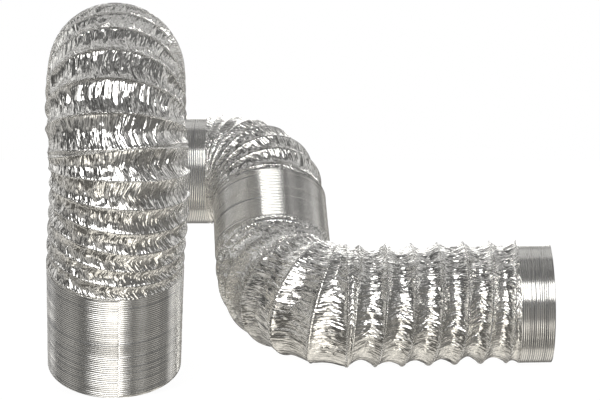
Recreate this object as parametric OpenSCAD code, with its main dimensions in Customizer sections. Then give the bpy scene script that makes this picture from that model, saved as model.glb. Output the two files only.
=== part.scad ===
// Flexible foil duct: two foil plies bonded over one helix of spring wire.
// Five lengths stay pressed together as stacks, and the lengths between them are pulled out and bent.
// The duct stands on the rim of its inlet, on the turn behind the arch and on the run to its outlet.

/* [Wall] */
// Bore of the duct, which slips over a 125 mm spigot
bore_d = 127; // [100:1:152]
// Thickness of one foil ply
ply_t = 0.35; // [0.3:0.05:0.5]
// Diameter of the spring wire
wire_d = 1.2; // [1:0.1:1.6]
// Gap between the wire and each ply
wire_gap = 0.05; // [0.05:0.01:0.1]

/* [Pressed stacks] */
// Distance from turn to turn in a stack
stack_pitch = 2.15; // [2.1:0.05:2.6]
// Depth of the groove between two turns of a stack
groove_depth = 0.8; // [0.4:0.1:1]
// Width of the foil that lies flat over each turn of wire
crest_w = 0.8; // [0.7:0.1:1]
// Turns of the stack at the inlet
inlet_turns = 50; // [30:1:55]
// Turns of the stack behind the arch
back_turns = 24; // [10:1:30]
// Turns of the bridge stack
bridge_turns = 16; // [10:1:18]
// Turns of the middle stack
middle_turns = 30; // [20:1:36]
// Turns of the stack at the outlet
outlet_turns = 16; // [12:1:30]

/* [Pulled-out lengths] */
// Depth of the fold between two ridges
fold_depth = 8; // [5:0.5:9]
// Distance between two ridges at which the fold has its full depth
fold_span = 26; // [22:1:30]
// Sides of a ridge, counted all round
ridge_sides = 16; // [12:2:20]
// Ridges of the column, from the inlet stack to its belly
column_ridges = 7; // [5:1:9]
// Ridges of the arch, from the belly to the stack behind it
arch_ridges = 7; // [5:1:9]
// Ridges of the leg that comes down behind the arch
down_leg_ridges = 5; // [4:1:7]
// Ridges of the turn that lies on the floor
floor_turn_ridges = 12; // [9:1:14]
// Ridges of the elbow that rises into the bridge stack
rise_elbow_ridges = 5; // [4:1:6]
// Ridges of the elbow above the middle stack
upper_elbow_ridges = 7; // [5:1:8]
// Ridges of the elbow below the middle stack
lower_elbow_ridges = 7; // [5:1:8]
// Ridges of the straight run to the outlet stack
run_ridges = 6.5; // [5:0.5:8]

/* [Hidden] */

foil_colour = "#c8c8c5";
liner_colour = "#a9aaa8";
wire_colour = "#6f7276";

// The wall is an inner ply, the wire and an outer ply, from the bore outwards.
bore_r = bore_d / 2;
liner_r = bore_r + ply_t;
wire_r = wire_d / 2;
wire_at_r = liner_r + wire_gap + wire_r;
outer_r = wire_at_r + wire_r + wire_gap + ply_t;
outer_d = 2 * outer_r;
foil_t = 2 * ply_t;
groove_floor_w = 0.15;
stack_fn = 96;
ring_sides = 8;

// The wire of a pulled-out length lies under its ridge, where the fold's two flanks meet.
fold_slope = fold_depth / (fold_span / 2);
ridge_wire_r = outer_r - foil_t - 2 * wire_gap - wire_r / cos(atan(fold_slope));
wire_sides = 3;
length_samples = 48;
// The helix is left-handed.
hand = -1;

// The model's origin lies on the floor, under the middle of the duct.
middle_x = -0.065;
middle_y = 0.975;
// The floor presses this much of the duct flat where it lies.
floor_cut = 0.5;
// A length that bends or stretches stops this far short of the piece that moves against its end.
joint_gap = 0.3;

// A station is a point on the duct's centreline and the way the duct heads there.
// Points are counted in outer diameters, as bends are. A turn is the compass angle and the climb.
function heading(turn) = [cos(turn[1]) * cos(turn[0]), cos(turn[1]) * sin(turn[0]), sin(turn[1])];
function station(x, y, z, turn) =
    [outer_d * [x - middle_x, y - middle_y, z] - [0, 0, floor_cut], heading(turn), turn];
function ahead(s, distance) = [s[0] + distance * s[1], s[1], s[2]];
function stack_l(turns) = turns * stack_pitch;

// The inlet leans forwards on its rim. The lowest duct on the floor has its axis half a diameter up.
inlet_turn = [-81.4, 66.2];
inlet_mouth = station(-1.395, 0, cos(inlet_turn[1]) / 2, inlet_turn);
inlet_end = ahead(inlet_mouth, stack_l(inlet_turns));
belly = station(-1.283, -0.631, 1.8, [170, 83.6]);
back_start = station(-1.37, 0.003, 2.38, [99.5, 0]);
back_end = ahead(back_start, stack_l(back_turns));
down_leg = station(-1.469, 0.979, 1.815, [84, -88]);
floor_turn = station(-1.633, 1.764, 0.5, [93.6, 0]);
rise_elbow = station(-1.683, 2.375, 0.956, [101, 75]);
bridge_end = station(-0.831, 2.577, 1.537, [-1, 0]);
bridge_start = ahead(bridge_end, -stack_l(bridge_turns));
upper_elbow = station(-0.435, 2.407, 1.478, [-44, -18]);
middle_start = station(-0.27, 2.101, 1.248, [-84, -49]);
middle_end = ahead(middle_start, stack_l(middle_turns));
lower_elbow = station(-0.105, 1.175, 0.603, [-62, -11]);
run_start = station(0.375, 0.9, 0.5, [0, 0]);
outlet_start = station(1.765, 0.99, 0.522, [-2.7, 1.2]);

function unit(v) = v / norm(v);

// Between two stations the centreline is a cubic curve, which is an arc where the stations allow one.
function handle(a, b) = norm(b[0] - a[0]) / (3 * pow(cos(acos(a[1] * b[1]) / 4), 2));
function controls(a, b) =
    let (h = handle(a, b))
    [a[0], a[0] + h * a[1], b[0] - h * b[1], b[0]];
function curve_point(p, t) =
    pow(1 - t, 3) * p[0] + 3 * pow(1 - t, 2) * t * p[1] + 3 * (1 - t) * t * t * p[2] + pow(t, 3) * p[3];
function curve_heading(p, t) =
    unit(pow(1 - t, 2) * (p[1] - p[0]) + 2 * (1 - t) * t * (p[2] - p[1]) + t * t * (p[3] - p[2]));

// A length's route runs through its stations, and its place on them is the station's number.
function leg(via, place) = min(floor(place), len(via) - 2);
function route_point(via, place) =
    let (i = leg(via, place)) curve_point(controls(via[i], via[i + 1]), place - i);
function route_heading(via, place) =
    let (i = leg(via, place)) curve_heading(controls(via[i], via[i + 1]), place - i);
function places_by_length(via) =
    let (step = (len(via) - 1) / length_samples)
    [for (i = 0, l = 0; i <= length_samples;
        l = l + norm(route_point(via, (i + 1) * step) - route_point(via, i * step)), i = i + 1)
        [l, i * step]];

// The first side is the outside of the bend, or the underside where the length is straight.
function first_side(a, b) =
    let (out = a[1] - b[1], across = out - (out * a[1]) * a[1], under = [0, 0, -1])
    norm(across) > 0.1 ? unit(across) : unit(under - (under * a[1]) * a[1]);

// Frames stand at equal distances along the route: a centre, a side, the side square to it, a heading.
// Each side is the one before, turned no more than the bend turns it.
function frames(via, steps) =
    let (
        table = places_by_length(via),
        total = table[length_samples][0],
        places = [for (j = [0:steps]) lookup(total * j / steps, table)],
        heads = [for (place = places) route_heading(via, place)],
        sides = [for (j = 0, s = first_side(via[0], via[1]); j <= steps;
            j = j + 1, s = j > steps ? s : unit(s - (s * heads[j]) * heads[j])) s]
    )
    [for (j = [0:steps]) [route_point(via, places[j]), sides[j], cross(heads[j], sides[j]), heads[j]]];
function outwards(frame, angle) = cos(angle) * frame[1] + sin(angle) * frame[2];
function rim_point(frame, angle, r) = frame[0] + r * outwards(frame, angle);

function quad(a, b, c, d) =
    [for (t = [[a, b, c], [a, c, d]]) if (t[0] != t[1] && t[1] != t[2] && t[2] != t[0]) t];
function flipped(faces) = [for (f = faces) [f[2], f[1], f[0]]];

// One skin of a folded length. Ridges and folds are helices, and each end closes on a flat ring.
// Step k goes one side round the duct. Ridge point k is a pitch ahead of point k - ridge_sides, and
// the ones before step 0 and after the last step stay on the end rings, which draws the folds in.
function held(k, steps) = max(0, min(k, steps));
function ridge_points(fs, steps, r) =
    [for (k = [-ridge_sides:steps + ridge_sides])
        rim_point(fs[2 * held(k, steps)], hand * 360 * k / ridge_sides, r)];
function fold_points(fs, steps, r, ridge) =
    [for (m = [0:steps + ridge_sides])
        let (
            ahead_k = held(m, steps),
            behind_k = held(m - ridge_sides, steps),
            gap = norm(ridge[m + ridge_sides] - ridge[m]),
            depth = min(fold_depth, gap * fold_slope / 2)
        )
        rim_point(fs[ahead_k + behind_k], hand * 360 * m / ridge_sides, r - depth)];
function skin_points(fs, steps, r) =
    let (ridge = ridge_points(fs, steps, r)) concat(ridge, fold_points(fs, steps, r, ridge));
// Ridge and fold points that fall together at the two ends share one number.
function ridge_id(k, steps) =
    ridge_sides + (k == -ridge_sides ? 0 : k == steps + ridge_sides ? steps : k);
function fold_id(m, steps) =
    m == 0 ? ridge_id(0, steps)
    : m == steps + ridge_sides ? ridge_id(steps, steps)
    : steps + 2 * ridge_sides + 1 + m;
function skin_faces(steps) =
    [for (m = [0:steps + ridge_sides - 1])
        let (
            behind = [ridge_id(m - ridge_sides, steps), ridge_id(m - ridge_sides + 1, steps)],
            fold = [fold_id(m, steps), fold_id(m + 1, steps)],
            front = [ridge_id(m, steps), ridge_id(m + 1, steps)]
        )
        each concat(quad(behind[0], behind[1], fold[1], fold[0]), quad(fold[0], fold[1], front[1], front[0]))];
function end_ring(first, steps) = [for (i = [0:ridge_sides - 1]) ridge_id(first + i, steps)];
function ring_faces(ring, inner_by) =
    [for (i = [0:ridge_sides - 1])
        let (a = ring[i], b = ring[(i + 1) % ridge_sides])
        each quad(a, a + inner_by, b + inner_by, b)];

module folded_foil(via, ridges) {
    steps = round(ridges * ridge_sides);
    fs = frames(via, 2 * steps);
    outer = skin_points(fs, steps, outer_r);
    inner = skin_points(fs, steps, outer_r - foil_t);
    count = len(outer);
    faces = concat(
        skin_faces(steps),
        flipped([for (f = skin_faces(steps)) f + count * [1, 1, 1]]),
        ring_faces(end_ring(-ridge_sides, steps), count),
        flipped(ring_faces(end_ring(steps, steps), count))
    );
    color(foil_colour) polyhedron(concat(outer, inner), hand < 0 ? faces : flipped(faces));
}

module helix_wire(via, ridges) {
    steps = round(ridges * ridge_sides);
    fs = frames(via, steps);
    points = [for (k = [1:steps - 1])
        let (
            angle = hand * 360 * k / ridge_sides,
            out = outwards(fs[k], angle),
            centre = rim_point(fs[k], angle, ridge_wire_r)
        )
        for (i = [0:wire_sides - 1])
            centre + wire_r * (cos(360 * i / wire_sides) * out + sin(360 * i / wire_sides) * fs[k][3])];
    rings = steps - 1;
    sides = [for (k = [0:rings - 2], i = [0:wire_sides - 1])
        let (j = (i + 1) % wire_sides, a = k * wire_sides, b = a + wire_sides)
        each quad(a + i, a + j, b + j, b + i)];
    ends = [[2, 1, 0], [(rings - 1) * wire_sides, (rings - 1) * wire_sides + 1, (rings - 1) * wire_sides + 2]];
    faces = concat(sides, ends);
    color(wire_colour) polyhedron(points, hand < 0 ? faces : flipped(faces));
}

module on_axis(s) translate(s[0]) rotate([0, 90 - s[2][1], s[2][0]]) children();

// The outer ply of a stack dips into the groove between each turn of wire and the next.
function ply_line(turns, r) = concat(
    [[r, 0]],
    [for (i = [1:turns - 1])
        let (z = i * stack_pitch, land = (stack_pitch - crest_w) / 2)
        each [
            [r, z - land], [r - groove_depth, z - groove_floor_w / 2],
            [r - groove_depth, z + groove_floor_w / 2], [r, z + land]
        ]],
    [[r, stack_l(turns)]]
);
function reversed(list) = [for (i = [len(list) - 1:-1:0]) list[i]];
module stack_outer_foil(s, turns)
    color(foil_colour) on_axis(s) rotate_extrude($fn = stack_fn)
        polygon(concat(ply_line(turns, outer_r), reversed(ply_line(turns, outer_r - ply_t))));
module stack_wire(s, turns)
    color(wire_colour) on_axis(s) for (i = [0:turns - 1])
        translate([0, 0, (i + 0.5) * stack_pitch]) rotate_extrude($fn = stack_fn)
            translate([wire_at_r, 0]) circle(wire_r, $fn = ring_sides);
module stack_inner_foil(s, turns)
    color(liner_colour) on_axis(s) rotate_extrude($fn = stack_fn)
        translate([bore_r, 0]) square([ply_t, stack_l(turns)]);

column_route = [inlet_end, belly];
arch_route = [belly, ahead(back_start, -joint_gap)];
down_leg_route = [back_end, down_leg];
floor_turn_route = [down_leg, floor_turn, ahead(rise_elbow, -joint_gap)];
rise_elbow_route = [rise_elbow, bridge_start];
upper_elbow_route = [bridge_end, upper_elbow, ahead(middle_start, -joint_gap)];
lower_elbow_route = [middle_end, lower_elbow, ahead(run_start, -joint_gap)];
run_route = [run_start, ahead(outlet_start, -joint_gap)];

module above_floor() difference() {
    children();
    translate([-3 * outer_d, -3 * outer_d, -outer_d]) cube([6 * outer_d, 6 * outer_d, outer_d]);
}

module inlet_stack_outer_foil() above_floor() stack_outer_foil(inlet_mouth, inlet_turns);
module inlet_stack_wire() stack_wire(inlet_mouth, inlet_turns);
module inlet_stack_inner_foil() stack_inner_foil(inlet_mouth, inlet_turns);
module column_foil() folded_foil(column_route, column_ridges);
module column_wire() helix_wire(column_route, column_ridges);
module arch_foil() folded_foil(arch_route, arch_ridges);
module arch_wire() helix_wire(arch_route, arch_ridges);
module back_stack_outer_foil() stack_outer_foil(back_start, back_turns);
module back_stack_wire() stack_wire(back_start, back_turns);
module back_stack_inner_foil() stack_inner_foil(back_start, back_turns);
module down_leg_foil() folded_foil(down_leg_route, down_leg_ridges);
module down_leg_wire() helix_wire(down_leg_route, down_leg_ridges);
module floor_turn_foil() above_floor() folded_foil(floor_turn_route, floor_turn_ridges);
module floor_turn_wire() helix_wire(floor_turn_route, floor_turn_ridges);
module rise_elbow_foil() folded_foil(rise_elbow_route, rise_elbow_ridges);
module rise_elbow_wire() helix_wire(rise_elbow_route, rise_elbow_ridges);
module bridge_stack_outer_foil() stack_outer_foil(bridge_start, bridge_turns);
module bridge_stack_wire() stack_wire(bridge_start, bridge_turns);
module bridge_stack_inner_foil() stack_inner_foil(bridge_start, bridge_turns);
module upper_elbow_foil() folded_foil(upper_elbow_route, upper_elbow_ridges);
module upper_elbow_wire() helix_wire(upper_elbow_route, upper_elbow_ridges);
module middle_stack_outer_foil() stack_outer_foil(middle_start, middle_turns);
module middle_stack_wire() stack_wire(middle_start, middle_turns);
module middle_stack_inner_foil() stack_inner_foil(middle_start, middle_turns);
module lower_elbow_foil() above_floor() folded_foil(lower_elbow_route, lower_elbow_ridges);
module lower_elbow_wire() helix_wire(lower_elbow_route, lower_elbow_ridges);
module run_foil() above_floor() folded_foil(run_route, run_ridges);
module run_wire() helix_wire(run_route, run_ridges);
module outlet_stack_outer_foil() stack_outer_foil(outlet_start, outlet_turns);
module outlet_stack_wire() stack_wire(outlet_start, outlet_turns);
module outlet_stack_inner_foil() stack_inner_foil(outlet_start, outlet_turns);

inlet_stack_outer_foil();
inlet_stack_wire();
inlet_stack_inner_foil();
column_foil();
column_wire();
arch_foil();
arch_wire();
back_stack_outer_foil();
back_stack_wire();
back_stack_inner_foil();
down_leg_foil();
down_leg_wire();
floor_turn_foil();
floor_turn_wire();
rise_elbow_foil();
rise_elbow_wire();
bridge_stack_outer_foil();
bridge_stack_wire();
bridge_stack_inner_foil();
upper_elbow_foil();
upper_elbow_wire();
middle_stack_outer_foil();
middle_stack_wire();
middle_stack_inner_foil();
lower_elbow_foil();
lower_elbow_wire();
run_foil();
run_wire();
outlet_stack_outer_foil();
outlet_stack_wire();
outlet_stack_inner_foil();
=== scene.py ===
import contextlib
import math

import bmesh
import bpy
import numpy as np
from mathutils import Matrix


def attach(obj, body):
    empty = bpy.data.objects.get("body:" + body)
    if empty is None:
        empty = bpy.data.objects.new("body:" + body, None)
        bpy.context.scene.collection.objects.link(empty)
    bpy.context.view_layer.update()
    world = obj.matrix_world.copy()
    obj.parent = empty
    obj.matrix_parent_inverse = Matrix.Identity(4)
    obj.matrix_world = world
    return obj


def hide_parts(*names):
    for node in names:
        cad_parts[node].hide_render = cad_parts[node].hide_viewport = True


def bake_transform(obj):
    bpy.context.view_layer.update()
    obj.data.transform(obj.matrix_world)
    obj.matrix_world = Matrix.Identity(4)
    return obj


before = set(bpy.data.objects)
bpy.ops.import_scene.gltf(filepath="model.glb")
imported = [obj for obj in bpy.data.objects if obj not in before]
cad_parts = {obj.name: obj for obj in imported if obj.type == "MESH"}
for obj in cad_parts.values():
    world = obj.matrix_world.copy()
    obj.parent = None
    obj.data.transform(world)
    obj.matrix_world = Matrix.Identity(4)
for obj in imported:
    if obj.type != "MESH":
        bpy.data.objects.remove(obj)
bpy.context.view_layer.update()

# ---------------------------------------------------------------- sizes, in metres

MM = 0.001
BORE_R = 63.5 * MM
PLY = 0.35 * MM
WIRE_D = 1.2 * MM
WIRE_GAP = 0.05 * MM
OUTER_R = BORE_R + 2 * PLY + 2 * WIRE_GAP + WIRE_D
DUCT = 2 * OUTER_R
WIRE_AT_R = BORE_R + PLY + WIRE_GAP + WIRE_D / 2
STACK_PITCH = 2.15 * MM
FOLD_DEPTH = 8 * MM
FOLD_SLOPE = 8 / 13
# How much the duct is flattened where it rests on the floor.
FLOOR_CUT = 0.5 * MM
# The wire winds left-handed.
HAND = -1
# The middle of the floor that the duct covers, counted in duct diameters.
MIDDLE = np.array([-0.065, 0.975, 0.0])

# ---------------------------------------------------------------- the duct's centreline


def heading(turn):
    """The way the duct heads, from its compass angle and its climb in degrees."""
    yaw, climb = np.radians(turn)
    return np.array([math.cos(climb) * math.cos(yaw), math.cos(climb) * math.sin(yaw), math.sin(climb)])


def station(x, y, z, turn):
    """A point on the centreline, counted in duct diameters, and the heading there."""
    place = DUCT * (np.array([x, y, z]) - MIDDLE) - [0, 0, FLOOR_CUT]
    return place, heading(turn)


def ahead(a_station, distance):
    place, head = a_station
    return place + distance * head, head


def stack_length(turns):
    return turns * STACK_PITCH


INLET_TURNS, BACK_TURNS, BRIDGE_TURNS, MIDDLE_TURNS, OUTLET_TURNS = 50, 24, 16, 30, 16
INLET_CLIMB = 66.2

inlet_mouth = station(-1.395, 0, math.cos(math.radians(INLET_CLIMB)) / 2, (-81.4, INLET_CLIMB))
inlet_end = ahead(inlet_mouth, stack_length(INLET_TURNS))
belly = station(-1.283, -0.631, 1.8, (170, 83.6))
back_start = station(-1.37, 0.003, 2.38, (99.5, 0))
back_end = ahead(back_start, stack_length(BACK_TURNS))
down_leg = station(-1.469, 0.979, 1.815, (84, -88))
floor_turn = station(-1.633, 1.764, 0.5, (93.6, 0))
rise_elbow = station(-1.683, 2.375, 0.956, (101, 75))
bridge_end = station(-0.831, 2.577, 1.537, (-1, 0))
bridge_start = ahead(bridge_end, -stack_length(BRIDGE_TURNS))
upper_elbow = station(-0.435, 2.407, 1.478, (-44, -18))
middle_start = station(-0.27, 2.101, 1.248, (-84, -49))
middle_end = ahead(middle_start, stack_length(MIDDLE_TURNS))
lower_elbow = station(-0.105, 1.175, 0.603, (-62, -11))
run_start = station(0.375, 0.9, 0.5, (0, 0))
outlet_start = station(1.765, 0.99, 0.522, (-2.7, 1.2))


def unit(v):
    return v / np.linalg.norm(v, axis=-1, keepdims=True)


def around(centre, side, cross, turn, radius):
    """Points at a radius from a centre, turned from its side the way that the wire winds."""
    angle = (HAND * 2 * math.pi * turn)[..., None]
    return centre + np.asarray(radius)[..., None] * (np.cos(angle) * side + np.sin(angle) * cross)


class Route:
    """A smooth centreline through stations, with a frame at every place along it."""

    SAMPLES = 1200
    # A length counts as straight where its ends' headings differ sideways by less than this.
    LEAST_BEND = 0.1

    def __init__(self, *via):
        points, heads = [], []
        t = np.linspace(0, 1, self.SAMPLES // (len(via) - 1) + 1)[:, None]
        u = 1 - t
        for (a, head_a), (d, head_d) in zip(via[:-1], via[1:]):
            angle = math.acos(float(np.clip(head_a @ head_d, -1, 1)))
            reach = np.linalg.norm(d - a) / (3 * math.cos(angle / 4) ** 2)
            b, c = a + reach * head_a, d - reach * head_d
            fresh = slice(1 if points else 0, None)
            points.append((u**3 * a + 3 * u**2 * t * b + 3 * u * t * t * c + t**3 * d)[fresh])
            heads.append(unit(u**2 * (b - a) + 2 * u * t * (c - b) + t * t * (d - c))[fresh])
        self.points, self.heads = np.concatenate(points), np.concatenate(heads)
        steps = np.linalg.norm(np.diff(self.points, axis=0), axis=1)
        self.along = np.concatenate([[0], np.cumsum(steps)])
        self.length = self.along[-1]
        side = self.first_side(via[0][1], via[1][1])
        sides = []
        for head in self.heads:
            side = unit(side - (side @ head) * head)
            sides.append(side)
        self.sides = np.array(sides)

    @classmethod
    def first_side(cls, head_a, head_b):
        """The outside of the bend, or the underside where the length is straight."""
        out = head_a - head_b
        across = out - (out @ head_a) * head_a
        if np.linalg.norm(across) > cls.LEAST_BEND:
            return unit(across)
        under = np.array([0, 0, -1.0])
        return unit(under - (under @ head_a) * head_a)

    def at(self, share):
        """Centres, sides and cross sides at shares of the length from 0 to 1."""
        s = np.clip(share, 0, 1) * self.length

        def pick(values):
            return np.stack([np.interp(s, self.along, values[:, k]) for k in range(3)], -1)

        head, side = unit(pick(self.heads)), pick(self.sides)
        side = unit(side - (side * head).sum(-1, keepdims=True) * head)
        return pick(self.points), side, np.cross(head, side)

    def ring(self, turn, share, radius):
        """Points at a radius from the centreline, at turns of the wire and shares of the length."""
        return around(*self.at(share), turn, radius)


# ---------------------------------------------------------------- noise


def straight(x):
    return x


def smoothstep(x):
    x = np.clip(x, 0, 1)
    return x * x * (3 - 2 * x)


def lattice_noise(rng, x, y, wrap_x=0, blend=smoothstep):
    """Noise from -1 to 1 on a square lattice. wrap_x is the number of cells after which it repeats."""
    xi, yi = np.floor(x).astype(int), np.floor(y).astype(int)
    width = wrap_x or int(xi.max() - xi.min()) + 2
    x0 = 0 if wrap_x else int(xi.min())
    table = rng.uniform(-1, 1, (width, int(yi.max() - yi.min()) + 2))
    fx, fy = blend(x - xi), blend(y - yi)
    column, row = (xi - x0) % width, yi - int(yi.min())
    after = (column + 1) % width
    low = table[column, row] * (1 - fx) + table[after, row] * fx
    high = table[column, row + 1] * (1 - fx) + table[after, row + 1] * fx
    return low * (1 - fy) + high * fy


# ---------------------------------------------------------------- meshes

MERGE = 0.001 * MM


def new_piece(name, vertices, faces, wrap=None):
    """A smooth mesh object from arrays of points and quads, with an optional map of one place per point."""
    mesh = bpy.data.meshes.new(name)
    mesh.vertices.add(len(vertices))
    mesh.vertices.foreach_set("co", np.asarray(vertices, np.float32).ravel())
    mesh.loops.add(faces.size)
    mesh.loops.foreach_set("vertex_index", faces.astype(np.int32).ravel())
    mesh.polygons.add(len(faces))
    mesh.polygons.foreach_set("loop_start", np.arange(len(faces), dtype=np.int32) * faces.shape[1])
    mesh.update(calc_edges=True)
    mesh.validate()
    mesh.polygons.foreach_set("use_smooth", np.ones(len(mesh.polygons), bool))
    if wrap is not None:
        layer = mesh.uv_layers.new(name="wrap")
        corner = np.empty(len(mesh.loops), np.int32)
        mesh.loops.foreach_get("vertex_index", corner)
        layer.data.foreach_set("uv", np.asarray(wrap, np.float32)[corner].ravel())
    piece = bpy.data.objects.new(name, mesh)
    bpy.context.scene.collection.objects.link(piece)
    return piece


@contextlib.contextmanager
def reworked(piece):
    """Opens a piece's mesh for work on it, then turns its faces outwards and puts it back."""
    work = bmesh.new()
    work.from_mesh(piece.data)
    yield work
    bmesh.ops.recalc_face_normals(work, faces=work.faces)
    work.to_mesh(piece.data)
    work.free()


def tube_faces(rows, columns):
    """Quads of a tube of rows of points that close on themselves."""
    row, column = np.meshgrid(np.arange(rows - 1), np.arange(columns), indexing="ij")
    here, beside = row * columns + column, row * columns + (column + 1) % columns
    return np.stack([here, beside, beside + columns, here + columns], -1).reshape(-1, 4)


def wrap_map(turn, along, radius):
    """Where points lie on the foil laid flat: how far round the duct and how far along it."""
    return np.stack([turn * 2 * math.pi * radius, along], -1)


def lifted(points, lowest):
    """Presses flat what would reach below a height over the floor."""
    points = points.reshape(-1, 3)
    points[:, 2] = np.maximum(points[:, 2], lowest)
    return points


def foil_shell(name, outer, inner, faces, rims, wrap):
    """A closed shell of two skins with the same faces, joined by a strip along each of its two rims."""
    count = len(outer)
    strips = [np.stack([rim[:-1], rim[:-1] + count, rim[1:] + count, rim[1:]], 1) for rim in rims]
    closed = np.concatenate([faces, faces[:, ::-1] + count] + strips)
    piece = new_piece(name, np.concatenate([outer, inner]), closed, np.concatenate([wrap, wrap]))
    with reworked(piece) as work:
        bmesh.ops.remove_doubles(work, verts=work.verts, dist=MERGE)
        bmesh.ops.dissolve_degenerate(work, edges=work.edges, dist=MERGE)
    return piece


# ---------------------------------------------------------------- the pulled-out lengths

# Points round one turn of a fold.
FOLD_COLUMNS = 288
# Places of a fold's rows between two ridges. The outer ones are the foot of the bead over the wire.
FOLD_ROWS = np.array([0, 0.045, 0.15, 0.27, 0.39, 0.5, 0.61, 0.73, 0.85, 0.955])
# The places between which the foil crumples freely, with the bead over the wire beyond them.
INNER_ROWS = (0.1, 0.9)
# The powers that make a fold's hollow, and its relief, fuller than a half wave.
FOLD_ROUND, RELIEF_ROUND = 0.85, 0.5
# A fold's noise: its cells for each column and across the fold, the shift that each turn adds, and its blend.
CRUMPLE = {
    "streaks": (0.45, 1.4, 31, straight),
    "creases": (0.4, 5.5, 61, straight),
    "dents": (0.14, 1.6, 20, straight),
    "lean": (0.05, 0, 13, smoothstep),
    "calm": (0.04, 0, 7, smoothstep),
    "depth": (0.02, 0, 5, smoothstep),
}
# What the sharp ones add to the relief, and how far the relief as a whole is sunk.
RELIEF = {"streaks": 0.9, "creases": 0.75, "dents": 1.1}
RELIEF_SUNK = 0.35
# The relief's size as a share of the gap between two ridges, and the most that it may be.
RELIEF_OF_GAP, RELIEF_MOST = 0.085, 1.8 * MM
# What the soft ones change, each as a middle value and a swing: the columns that a crease leans by, the share
# of the relief that is left, and the share of the fold's depth.
LEAN, CALM, DEPTH_SHARE = (2.4, 2.2), (0.8, 0.35), (1, 0.35)
# Foil that faces the floor is calmer: from how much it faces down, over what change, and by what share.
UNDERSIDE_FROM, UNDERSIDE_OVER, UNDERSIDE_CALM = 0.45, 0.4, 0.75
# How far below the ridge the foil starts, at the bead's foot and inside it, and the least anywhere.
BEAD_FOOT, INNER_FOOT, UNDER_RIDGE = 0.45 * MM, 0.05 * MM, 0.1 * MM
# Where ridges come close: the share of their gap that the foot may take, and that the inner skin's bead may
# take with an extra.
FOOT_OF_GAP, BEAD_OF_GAP, BEAD_EXTRA = 0.1, 0.4, 0.2 * MM
ROW_JITTER, COLUMN_JITTER = 0.02, 0.15
# Corners of a wire's section, and sections to one turn of it.
WIRE_SIDES, WIRE_STEPS = 8, 48


def swing(limits, noise):
    middle, most = limits
    return middle + most * noise


def is_inner(rows):
    return (rows > INNER_ROWS[0]) & (rows < INNER_ROWS[1])


def fold_noise(rng, strip, rows, turn):
    column = strip[:, None] + 0 * rows
    return {
        what: lattice_noise(rng, column * cells, rows * across + shift * turn, 0, blend)
        for what, (cells, across, shift, blend) in CRUMPLE.items()
    }


def fold_radius(noise, rows, gap, underside, crumple, sunk):
    """How far a crumpled fold's foil lies from the centreline, row by row between two ridges."""
    on_ridge, arch = rows == 0, np.sin(math.pi * rows)
    depth = sunk * np.minimum(FOLD_DEPTH, gap * FOLD_SLOPE / 2) * swing(DEPTH_SHARE, noise["depth"])
    foot = np.where(on_ridge, 0, np.where(is_inner(rows), INNER_FOOT, BEAD_FOOT))
    radius = OUTER_R - depth * arch**FOLD_ROUND - np.minimum(foot, gap * FOOT_OF_GAP)
    size = np.clip(gap * RELIEF_OF_GAP, 0, RELIEF_MOST) * crumple
    calm = swing(CALM, noise["calm"]) * (1 - UNDERSIDE_CALM * underside)
    relief = sum(share * noise[what] for what, share in RELIEF.items()) - RELIEF_SUNK
    radius = radius + size * arch**RELIEF_ROUND * calm * relief
    return np.minimum(radius, OUTER_R - np.where(on_ridge, 0, UNDER_RIDGE))


def fold_faces(total):
    """Quads of a strip that winds on from ridge to ridge, and the rings of points at its two ends."""
    rows, wound = len(FOLD_ROWS), total + FOLD_COLUMNS

    def on_ridge(k):
        return np.where(k <= wound, k * rows, (wound + 1) * rows + k - (wound + 1))

    k = np.arange(wound)
    quads = []
    for row in range(rows):
        a, b = k * rows + row, (k + 1) * rows + row
        if row < rows - 1:
            d, c = a + 1, b + 1
        else:
            d, c = on_ridge(k + FOLD_COLUMNS), on_ridge(k + 1 + FOLD_COLUMNS)
        quads.append(np.stack([a, b, c, d], 1))
    first_ring = on_ridge(np.arange(FOLD_COLUMNS + 1))
    last_ring = on_ridge(np.arange(wound, wound + FOLD_COLUMNS + 1))
    return np.stack(quads, 1).reshape(-1, 4), [first_ring[::-1], last_ring]


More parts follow.
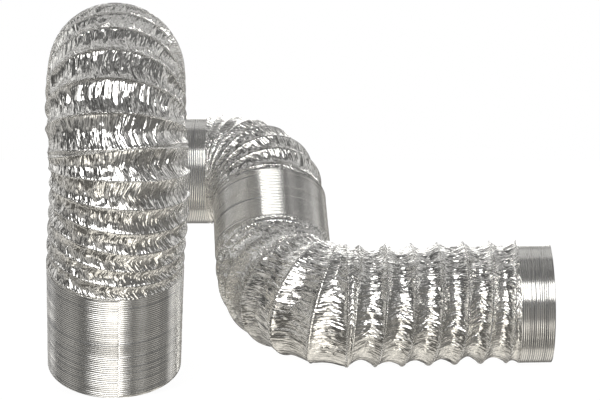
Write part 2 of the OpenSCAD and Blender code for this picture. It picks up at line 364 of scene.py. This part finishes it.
def folded_sheet(name, route, ridges, seed, crumple, sunk):
    """The foil of a pulled-out length: one strip that winds on from ridge to ridge, crumpled between them."""
    rng = np.random.default_rng(seed)
    total = int(round(ridges * FOLD_COLUMNS))
    ridge = np.arange(-FOLD_COLUMNS, total + FOLD_COLUMNS + 1)
    ridge_share = np.clip(ridge / FOLD_COLUMNS, 0, ridges) / ridges
    ridge_at = route.ring(ridge / FOLD_COLUMNS, ridge_share, OUTER_R)
    gap = np.linalg.norm(ridge_at[FOLD_COLUMNS:] - ridge_at[:-FOLD_COLUMNS], axis=1)[:, None]

    strip, last = ridge[: total + FOLD_COLUMNS + 1], slice(total + FOLD_COLUMNS + 1, None)
    turn = strip[:, None] / FOLD_COLUMNS
    rows = np.broadcast_to(FOLD_ROWS, (len(strip), len(FOLD_ROWS))).copy()
    noise = fold_noise(rng, strip, rows, turn)
    _, side, cross = route.at(turn / ridges)
    down = -around(0, side, cross, turn, 1)[..., 2]
    underside = smoothstep((down - UNDERSIDE_FROM) / UNDERSIDE_OVER)
    radius = fold_radius(noise, rows, gap, underside, crumple, sunk)

    # Creases lean one way on each flank, and their rows are a little uneven.
    inner_row = is_inner(rows)
    lean = swing(LEAN, noise["lean"]) * (np.minimum(rows, 1 - rows) * 2)
    rows = rows + np.where(inner_row, rng.uniform(-ROW_JITTER, ROW_JITTER, rows.shape), 0)
    lean = lean + rng.uniform(-COLUMN_JITTER, COLUMN_JITTER, rows.shape)
    drift = np.where(inner_row, lean, 0) / FOLD_COLUMNS
    behind, front = np.clip(turn, 0, ridges), np.clip(turn + 1, 0, ridges)
    share = (behind + (front - behind) * rows) / ridges

    # The inner skin passes under the wire at the ridge and follows the outer one elsewhere.
    bead = np.where(rows == 0, WIRE_D + 2 * WIRE_GAP + PLY, np.where(inner_row, 0, WIRE_D / 2))
    inner_radius = radius - PLY - np.minimum(bead, gap * BEAD_OF_GAP + BEAD_EXTRA)
    end_ring = route.ring(ridge[last] / FOLD_COLUMNS, ridge_share[last], OUTER_R - 2 * PLY - WIRE_D)
    outer = np.concatenate([lifted(route.ring(turn + drift, share, radius), 0), lifted(ridge_at[last], 0)])
    inner = np.concatenate([lifted(route.ring(turn + drift, share, inner_radius), PLY), end_ring])
    wrap = np.concatenate([
        wrap_map(turn + 0 * rows, share * route.length, OUTER_R).reshape(-1, 2),
        wrap_map(ridge[last] / FOLD_COLUMNS, ridge_share[last] * route.length, OUTER_R),
    ])
    return foil_shell(name, outer, inner, *fold_faces(total), wrap)


def swept_wire(name, route, ridges, radius):
    """The spring wire of a pulled-out length, as one round helix."""
    turn = np.arange(1, int(round(ridges * WIRE_STEPS))) / WIRE_STEPS
    centre, side, cross = route.at(turn / ridges)
    out = around(0, side, cross, turn, 1)
    middle = centre + radius * out
    up = np.cross(unit(np.gradient(middle, axis=0)), out)
    angle = (np.arange(WIRE_SIDES) * 2 * math.pi / WIRE_SIDES)[None, :, None]
    skin = middle[:, None] + WIRE_D / 2 * (np.cos(angle) * out[:, None] + np.sin(angle) * up[:, None])
    piece = new_piece(name, skin.reshape(-1, 3), tube_faces(len(turn), WIRE_SIDES))
    with reworked(piece) as work:
        bmesh.ops.holes_fill(work, edges=[edge for edge in work.edges if edge.is_boundary])
    return piece


# ---------------------------------------------------------------- the pressed stacks

STACK_COLUMNS = 144
# Rows of one turn of a stack, as shares of the pitch, and how far each lies down the groove.
TURN_ROWS = np.array([0.0, 0.1, 0.25, 0.5, 0.75, 0.9])
TURN_DROP = np.array([1.0, 0.56, 0.2, 0.0, 0.2, 0.56])
GROOVE = 0.66 * MM
# The share of the grooves where two turns have parted, and how much deeper those are.
PARTED_SHARE, PARTED_MORE = 0.14, 1.3
CREST_BELOW = 0.2 * MM
# The foil's unevenness: small waves, a long swell, and turns that wander along the stack, save near its rims.
WAVES, SWELL, WANDER, STEADY_RIM = 0.1 * MM, 0.12 * MM, 0.2 * MM, 3 * MM
LINER_ROWS = 3
LINER_GROOVE, LINER_GRAIN = 0.06 * MM, 0.03 * MM
# Each one's cells of noise round the duct, and for each turn along it.
WAVE_CELLS, SWELL_CELLS, WANDER_CELLS, GRAIN_CELLS = (9, 1), (4, 0.12), (5, 0.4), (40, 1)


def stack_grid(z):
    """Heights along a stack's axis by turns round it."""
    return np.meshgrid(z, np.arange(STACK_COLUMNS) / STACK_COLUMNS, indexing="ij")


def round_noise(rng, turn, number, cells):
    """Noise that meets itself round the duct."""
    cells_round, cells_along = cells
    return lattice_noise(rng, turn * cells_round, number * cells_along, cells_round)


def stack_skin(name, start, turn, along, radius, wrap_r):
    """A ply of foil round a stack's axis, from the radius of its outer side at places along it."""
    place, head = start
    side = Route.first_side(head, head)
    centre, cross = place + along[..., None] * head, np.cross(head, side)
    outer = lifted(around(centre, side, cross, turn, radius), 0)
    inner = lifted(around(centre, side, cross, turn, radius - PLY), PLY / 2)
    rim = np.append(np.arange(STACK_COLUMNS), 0)
    rims = [rim[::-1], rim + (len(along) - 1) * STACK_COLUMNS]
    wrap = wrap_map(turn, along, wrap_r).reshape(-1, 2)
    return foil_shell(name, outer, inner, tube_faces(*along.shape), rims, wrap)


def pressed_sheet(name, start, turns, seed):
    """The outer foil of a pressed stack: one helical crest over the wire, turn after turn."""
    rng = np.random.default_rng(seed)
    length = stack_length(turns)
    z = ((np.arange(turns)[:, None] + TURN_ROWS) * STACK_PITCH).ravel()
    z, turn = stack_grid(np.concatenate([[0], z[1:], [length]]))
    parted = 1 + PARTED_MORE * (rng.uniform(size=turns) < PARTED_SHARE)
    drop = np.concatenate([np.tile(TURN_DROP, turns) * np.repeat(parted, len(TURN_ROWS)), [0]])
    drop[0] = 0
    number = z / STACK_PITCH + turn
    helix = np.where((z > 0) & (z < length), turn * STACK_PITCH, 0)
    along = np.clip(z + helix - STACK_PITCH / 2, 0, length)
    along[0], along[-1] = 0, length
    waves = WAVES * round_noise(rng, turn, number - turn, WAVE_CELLS)
    swell = SWELL * round_noise(rng, turn, number, SWELL_CELLS)
    radius = OUTER_R - CREST_BELOW - drop[:, None] * GROOVE + waves + swell
    wander = WANDER * round_noise(rng, turn, number, WANDER_CELLS)
    along = along + wander * ((z > STEADY_RIM) & (z < length - STEADY_RIM))
    return stack_skin(name, start, turn, along, np.minimum(radius, OUTER_R), OUTER_R)


def pressed_liner(name, start, turns, seed):
    """The inner foil of a stack: pressed nearly smooth, with a shallow groove between the turns."""
    rng = np.random.default_rng(seed)
    z, turn = stack_grid(np.linspace(0, stack_length(turns), turns * LINER_ROWS + 1))
    number = z / STACK_PITCH
    groove = LINER_GROOVE * (1 + np.cos(2 * math.pi * (number - turn)))
    grain = LINER_GRAIN * (1 + round_noise(rng, turn, number, GRAIN_CELLS))
    return stack_skin(name, start, turn, z, BORE_R + PLY - groove - grain, BORE_R)


# ---------------------------------------------------------------- finishes


class Field:
    """A number or colour that changes over a surface: a socket that Python's operators work on."""

    def __init__(self, tree, socket):
        self.tree, self.socket = tree, socket

    def other(self, output):
        """Another output of the same node."""
        return Field(self.tree, self.socket.node.outputs[output])

    def maths(self, operation, *values):
        sockets = {str(k): value for k, value in enumerate(values)}
        return shade_node(self.tree, "ShaderNodeMath", {"operation": operation}, **sockets)

    def __add__(self, other):
        return self.maths("ADD", self, other)

    def __radd__(self, other):
        return self.maths("ADD", other, self)

    def __sub__(self, other):
        return self.maths("SUBTRACT", self, other)

    def __rsub__(self, other):
        return self.maths("SUBTRACT", other, self)

    def __mul__(self, other):
        return self.maths("MULTIPLY", self, other)

    def __rmul__(self, other):
        return self.maths("MULTIPLY", other, self)

    def __abs__(self):
        return self.maths("ABSOLUTE", self)

    def least(self, other):
        return self.maths("MINIMUM", self, other)

    def most(self, other):
        return self.maths("MAXIMUM", self, other)

    def step(self, low, high):
        """0 below low, 1 above high and smooth between them."""
        settings = {"interpolation_type": "SMOOTHSTEP"}
        return shade_node(self.tree, "ShaderNodeMapRange", settings, **{"0": self, "1": low, "2": high})

    def window(self, low, high, soft):
        """1 between low and high and 0 outside, with edges that are soft by so much to either side."""
        return self.step(low - soft, low + soft) * (1 - self.step(high - soft, high + soft))


def shade_node(tree, kind, settings=None, output=0, **inputs):
    """Adds a node, makes its settings, then fills or links its sockets by name or number."""
    node = tree.nodes.new(kind)
    for key, value in (settings or {}).items():
        if key == "stops":
            for stop, (place, colour) in zip(stops_of(node, len(value)), value):
                stop.position, stop.color = place, (*colour, 1)
        else:
            setattr(node, key, value)
    for key, value in inputs.items():
        socket = node.inputs[int(key)] if key.isdigit() else node.inputs[key.replace("_", " ")]
        if isinstance(value, Field):
            tree.links.new(value.socket, socket)
        else:
            socket.default_value = value
    return Field(tree, node.outputs[output]) if node.outputs else None


def stops_of(node, count):
    ramp = node.color_ramp
    while len(ramp.elements) < count:
        ramp.elements.new(1.0)
    return ramp.elements


def clouded(tree, place, scale, detail=3.0):
    settings = {"noise_dimensions": "3D"}
    return shade_node(tree, "ShaderNodeTexNoise", settings, Vector=place, Scale=scale, Detail=detail)


def faceted(tree, place, scale, dimensions):
    settings = {"feature": "F1", "voronoi_dimensions": dimensions}
    return shade_node(tree, "ShaderNodeTexVoronoi", settings, Vector=place, Scale=scale)


def mixed(tree, share, first, second):
    return shade_node(tree, "ShaderNodeMixShader", **{"0": share, "1": first, "2": second})


def new_finish(name):
    material = bpy.data.materials.new(name)
    material.use_nodes = True
    material.node_tree.nodes.clear()
    return material, material.node_tree


FOIL, LINING = (0.93, 0.925, 0.905), (0.84, 0.84, 0.83)
STEEL_DARK, STEEL_LIGHT = (0.36, 0.37, 0.39), (0.5, 0.51, 0.53)
# The shares between which a metal's colour goes from its dark to its light tone.
DARK_TO, LIGHT_FROM = 0.3, 0.7
# Spots to a metre: patches of gloss, loose facets and fine grain of the foil, and the wire's drawn grain.
PATCHES, FACETS, GRAIN, DRAWN = 38.0, 120.0, 420.0, 900.0
# Long facets: how many degrees they lean, and how many come to a metre round the duct and along it.
STREAKS = [(33, 310.0, 90.0), (-38, 400.0, 115.0)]
# How strongly the loose facets show beside the long ones.
FACETS_SHOW = 0.9
# Foil that faces the floor wrinkles less: by what share, and over what range of how much it faces down.
SETTLED, FACING_DOWN = 0.7, (0.35, 0.85)
# How much the patches change the foil's gloss, and their darker tone as a share of its colour.
PATCH_GLOSS, PATCH_TONE = 0.1, 0.93
# How high the foil's wrinkles and the wire's grain stand, and how strongly they show.
FOIL_BUMPS, WIRE_BUMPS = (0.6 * MM, 1.0), (0.2 * MM, 0.2)
# The drawn wire's gloss, as its least and what the grain adds.
WIRE_ROUGH, WIRE_ROUGHER = 0.3, 0.2


def metal_surface(tree, share, dark, light, gloss, height, bumps):
    """A bare metal's shader: a share takes its colour from dark to light, and a height gives its bumps."""
    depth, strength = bumps
    stops = [(DARK_TO, dark), (LIGHT_FROM, light)]
    tint = shade_node(tree, "ShaderNodeValToRGB", {"stops": stops}, Fac=share)
    bump = shade_node(tree, "ShaderNodeBump", Height=height, Strength=strength, Distance=depth)
    metal = shade_node(
        tree, "ShaderNodeBsdfPrincipled", Base_Color=tint, Metallic=1.0, Roughness=gloss, Normal=bump,
    )
    shade_node(tree, "ShaderNodeOutputMaterial", Surface=metal)


def crumpled_foil(name, colour, rough, wrinkles, grain):
    """Bright foil: long wrinkles over the modelled ones, fine grain, and a gloss that changes in patches."""
    material, tree = new_finish(name)
    place = shade_node(tree, "ShaderNodeTexCoord", output="Object")
    wrap = shade_node(tree, "ShaderNodeUVMap", {"uv_map": "wrap"})
    patches = clouded(tree, place, PATCHES)

    def streaked(lean, across, along):
        """Long facets that lean by an angle, so many to a metre round the duct and along it."""
        slant = (0.0, 0.0, math.radians(lean))
        drawn = shade_node(tree, "ShaderNodeMapping", Vector=wrap, Rotation=slant, Scale=(across, along, 1.0))
        return faceted(tree, drawn, 1.0, "2D")

    facing = shade_node(tree, "ShaderNodeNewGeometry", output="True Normal")
    up = shade_node(tree, "ShaderNodeSeparateXYZ", output="Z", Vector=facing)
    calm = 1 - SETTLED * (up * -1).step(*FACING_DOWN)
    first, second = STREAKS
    creases = streaked(*first) + streaked(*second) + faceted(tree, place, FACETS, "3D") * FACETS_SHOW
    height = creases * (calm * wrinkles) + clouded(tree, place, GRAIN) * grain
    gloss = rough + (patches - 0.5) * PATCH_GLOSS
    shaded = tuple(PATCH_TONE * c for c in colour)
    metal_surface(tree, patches, shaded, colour, gloss, height, FOIL_BUMPS)
    return material


def spring_wire():
    """Drawn steel wire with a fine grain."""
    material, tree = new_finish("spring_wire")
    drawn = clouded(tree, shade_node(tree, "ShaderNodeTexCoord", output="Object"), DRAWN)
    gloss = WIRE_ROUGH + drawn * WIRE_ROUGHER
    metal_surface(tree, drawn, STEEL_DARK, STEEL_LIGHT, gloss, drawn, WIRE_BUMPS)
    return material


folded_foil = crumpled_foil("folded_foil", FOIL, rough=0.1, wrinkles=1.0, grain=0.03)
pressed_foil = crumpled_foil("pressed_foil", FOIL, rough=0.14, wrinkles=0.02, grain=0.01)
liner_foil = crumpled_foil("liner_foil", LINING, rough=0.3, wrinkles=0.2, grain=0.15)
wire_steel = spring_wire()


def coat(piece, material):
    piece.data.materials.clear()
    piece.data.materials.append(material)


def dress(piece, material):
    coat(piece, material)


# ---------------------------------------------------------------- the duct

# Each pulled-out length: its route, ridges, the two bodies that it joins, how strongly it is crumpled
# and how deep its folds sink, as a share of the full depth.
LENGTHS = {
    "column": (Route(inlet_end, belly), 7, "inlet", "back", 1.0, 0.52),
    "arch": (Route(belly, back_start), 7, "inlet", "back", 1.0, 0.52),
    "down_leg": (Route(back_end, down_leg), 5, "back", None, 0.9, 0.8),
    "floor_turn": (Route(down_leg, floor_turn, rise_elbow), 12, "back", "bridge", 1.0, 0.9),
    "rise_elbow": (Route(rise_elbow, bridge_start), 5, "bridge", None, 0.9, 0.8),
    "upper_elbow": (Route(bridge_end, upper_elbow, middle_start), 7, "bridge", "middle", 1.0, 0.6),
    "lower_elbow": (Route(middle_end, lower_elbow, run_start), 7, "middle", "run", 1.0, 0.55),
    "run": (Route(run_start, outlet_start), 6.5, "run", "outlet", 1.0, 0.88),
}
# Each stack: where it starts, its turns of wire, and its body.
STACKS = {
    "inlet": (inlet_mouth, INLET_TURNS, "inlet"),
    "back": (back_start, BACK_TURNS, "back"),
    "bridge": (bridge_start, BRIDGE_TURNS, "bridge"),
    "middle": (middle_start, MIDDLE_TURNS, "middle"),
    "outlet": (outlet_start, OUTLET_TURNS, "outlet"),
}
FOLDED_SEED, PRESSED_SEED, LINER_SEED = 100, 200, 300


def follow(piece, body, next_body):
    """The piece rides on its body where no next body is given; otherwise its placement is baked into its mesh
    and it rides on neither.
    """
    if next_body is None:
        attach(piece, body)
    else:
        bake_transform(piece)


for seed, (name, (route, ridges, body, next_body, crumple, sunk)) in enumerate(LENGTHS.items()):
    sheet = folded_sheet(f"{name}_folded_foil", route, ridges, FOLDED_SEED + seed, crumple, sunk)
    dress(sheet, folded_foil)
    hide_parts(f"{name}_foil")
    follow(sheet, body, next_body)
    wire = swept_wire(f"{name}_spring_wire", route, ridges, WIRE_AT_R - FLOOR_CUT / 2)
    dress(wire, wire_steel)
    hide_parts(f"{name}_wire")
    follow(wire, body, next_body)

for seed, (name, (start, turns, body)) in enumerate(STACKS.items()):
    sheet = pressed_sheet(f"{name}_pressed_foil", start, turns, PRESSED_SEED + seed)
    dress(sheet, pressed_foil)
    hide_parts(f"{name}_stack_outer_foil")
    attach(sheet, body)
    liner = pressed_liner(f"{name}_pressed_liner", start, turns, LINER_SEED + seed)
    dress(liner, liner_foil)
    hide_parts(f"{name}_stack_inner_foil")
    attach(liner, body)
    coat(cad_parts[f"{name}_stack_wire"], wire_steel)

# ---------------------------------------------------------------- the studio

WHITE = (1.0, 1.0, 1.0, 1)
# The colour of light from below and from above, and the climb over which it changes.
LOW_LIGHT, HIGH_LIGHT, LIGHT_CHANGES = (1.0, 0.955, 0.87, 1), (1.0, 0.99, 0.975, 1), (-60, 30)
# Windows of light, each from, to and how soft, in degrees of climb or round the duct. 0 is towards the
# camera, 90 to its right and 180 behind the duct.
BOX_CLIMB, STRIP_CLIMB, BACKDROP_CLIMB, LOW_LEFT_CLIMB = (10, 41, 4), (6, 42, 6), (-14, 14, 4), (-34, -6, 6)
SOFTBOX, SIDE_WALL, FILL, LOW_LEFT = (-29, 23, 9), (26, 118, 8), (-30, 2, 6), (-98, -58, 10)
# Tall strips of light at the sides, and how strong each is.
STRIPS = [((40, 52, 6), 0.48), ((96, 112, 6), 0.8), ((-116, -98, 6), 1.0)]
# How strong the other lights are, where plain white is 1. The last is the floor below the softbox.
FRONT_BOX, BACK_BOX, SIDE_GLOW, FILL_GLOW, LOW_LEFT_GLOW, FLOOR_SHINE = 3.7, 2.0, 0.06, 0.3, 0.5, 1.5
# Degrees round from the camera over which the parts at the back begin.
BACK_WALL_FROM, BACK_SHADE_FROM, BACK_BOX_FROM, BACKDROP_FROM = (104, 128), (140, 154), (150, 160), (162, 170)
# The share of the back wall's light that its shade takes, and the climb over which the shade ends.
BACK_SHADE, SHADE_ENDS = 0.75, (46, 60)
# Climbs over which the ceiling begins, and over which the table and the floor's shine end.
CEILING_FROM, TABLE_ENDS, SHINE_ENDS = (76, 88), (-46, -28), (-38, -20)
# The clouds' spots and detail, and the noise over which they begin.
CLOUD_SPOTS, CLOUD_DETAIL, CLOUD_FROM = 8.0, 2.0, (0.4, 0.6)
# How strong each clouded part is, as its least and what its clouds add.
ROOM, BACK_WALL, CEILING, FLOOR_PATCHES = (0.03, 0.14), (0.2, 0.5), (0.22, 0.34), (0.6, 0.8)
# The table's strength on the left, what is added on the right and from where, and what is added behind.
TABLE, TABLE_RIGHT, TABLE_RIGHT_FROM, TABLE_BACK = 0.12, 0.14, (20, 40), 0.58
DEGREES = 180 / math.pi


def patchy(clouds, strengths):
    least, more = strengths
    return least + more * clouds


def studio_world():
    """A dim studio with a softbox in front, strips of light at the sides and pale walls at the back.

    The camera sees plain white all round, and metal and glass mirror it from the backdrop behind the duct.
    """
    world = bpy.data.worlds.new("studio")
    bpy.context.scene.world = world
    world.use_nodes = True
    tree = world.node_tree
    tree.nodes.clear()
    way = shade_node(tree, "ShaderNodeTexCoord", output="Generated")
    x = shade_node(tree, "ShaderNodeSeparateXYZ", Vector=way)
    y, z = x.other("Y"), x.other("Z")
    compass = x.maths("ARCTAN2", x, y * -1) * DEGREES
    climb = z.maths("ARCSINE", z) * DEGREES
    astern = abs(compass)
    clouds = clouded(tree, way, CLOUD_SPOTS, CLOUD_DETAIL).step(*CLOUD_FROM)

    facing_box = compass.window(*SOFTBOX)
    box_climb = climb.window(*BOX_CLIMB)
    boxes = FRONT_BOX * facing_box * box_climb + BACK_BOX * astern.step(*BACK_BOX_FROM) * box_climb

    strips = sum(strength * compass.window(*where) for where, strength in STRIPS) * climb.window(*STRIP_CLIMB)
    side = SIDE_GLOW * compass.window(*SIDE_WALL)
    fill = FILL_GLOW * compass.window(*FILL)
    low_left = LOW_LEFT_GLOW * compass.window(*LOW_LEFT) * climb.window(*LOW_LEFT_CLIMB)
    back = astern.step(*BACK_WALL_FROM)
    back_shade = BACK_SHADE * astern.step(*BACK_SHADE_FROM) * (1 - climb.step(*SHADE_ENDS))
    back_wall = back * patchy(clouds, BACK_WALL) * (1 - back_shade)
    walls = patchy(clouds, ROOM) + strips + side + fill + low_left + back_wall

    above = climb.step(*CEILING_FROM) * patchy(clouds, CEILING)
    table_tone = TABLE + TABLE_RIGHT * compass.step(*TABLE_RIGHT_FROM) + TABLE_BACK * back
    table = (1 - climb.step(*TABLE_ENDS)) * table_tone
    shine = FLOOR_SHINE * facing_box * (1 - climb.step(*SHINE_ENDS))
    below = (table + shine) * patchy(clouds, FLOOR_PATCHES)

    level = walls.most(above).most(below) + boxes
    tones = {"0": climb.step(*LIGHT_CHANGES), "6": LOW_LIGHT, "7": HIGH_LIGHT}
    tone = shade_node(tree, "ShaderNodeMix", {"data_type": "RGBA"}, 2, **tones)
    studio = shade_node(tree, "ShaderNodeBackground", Color=tone, Strength=level)
    white = shade_node(tree, "ShaderNodeBackground", Color=WHITE, Strength=1.0)
    seen = shade_node(tree, "ShaderNodeLightPath", output="Is Camera Ray")
    mirrored = seen.other("Is Glossy Ray") + seen.other("Is Transmission Ray")
    backdrop = astern.step(*BACKDROP_FROM) * climb.window(*BACKDROP_CLIMB)
    shown = (seen + mirrored * backdrop).least(1)
    shade_node(tree, "ShaderNodeOutputWorld", Surface=mixed(tree, shown, studio, white))


FLOOR_SIZE = 6.0
FLOOR_PAINT = (0.9, 0.9, 0.9, 1)
# The share of the floor's white that the camera sees whatever falls on it, and its strength. With the lit
# rest the open floor comes out white.
FLOOR_GLOW_SHARE, FLOOR_GLOW = 0.85, 1.12


def studio_floor():
    """A pale floor that keeps a soft shadow and is white where the camera sees it."""
    corners = np.array([[-1, -1, 0], [1, -1, 0], [1, 1, 0], [-1, 1, 0]]) * FLOOR_SIZE
    floor = new_piece("floor", corners, np.array([[0, 1, 2, 3]]))
    material, tree = new_finish("floor_white")
    matt = shade_node(tree, "ShaderNodeBsdfDiffuse", Color=FLOOR_PAINT)
    white = shade_node(tree, "ShaderNodeEmission", Color=WHITE, Strength=FLOOR_GLOW)
    seen = shade_node(tree, "ShaderNodeLightPath", output="Is Camera Ray")
    shade_node(tree, "ShaderNodeOutputMaterial", Surface=mixed(tree, seen * FLOOR_GLOW_SHARE, matt, white))
    coat(floor, material)
    floor.visible_glossy = False


studio_world()
studio_floor()

# ---------------------------------------------------------------- the camera

CAMERA_BACK = 11.619 * DUCT
CAMERA_HEIGHT = 2.122 * DUCT
CAMERA_DOWN = 3.5
LENS, SENSOR = 93.3, 36.0

camera_data = bpy.data.cameras.new("camera")
camera_data.lens = LENS
camera_data.sensor_width = SENSOR
camera = bpy.data.objects.new("camera", camera_data)
bpy.context.scene.collection.objects.link(camera)
camera.location = (-MIDDLE[0] * DUCT, -CAMERA_BACK - MIDDLE[1] * DUCT, CAMERA_HEIGHT - FLOOR_CUT)
camera.rotation_euler = (math.radians(90 - CAMERA_DOWN), 0, 0)
bpy.context.scene.camera = camera
bpy.context.scene.view_settings.view_transform = "Standard"
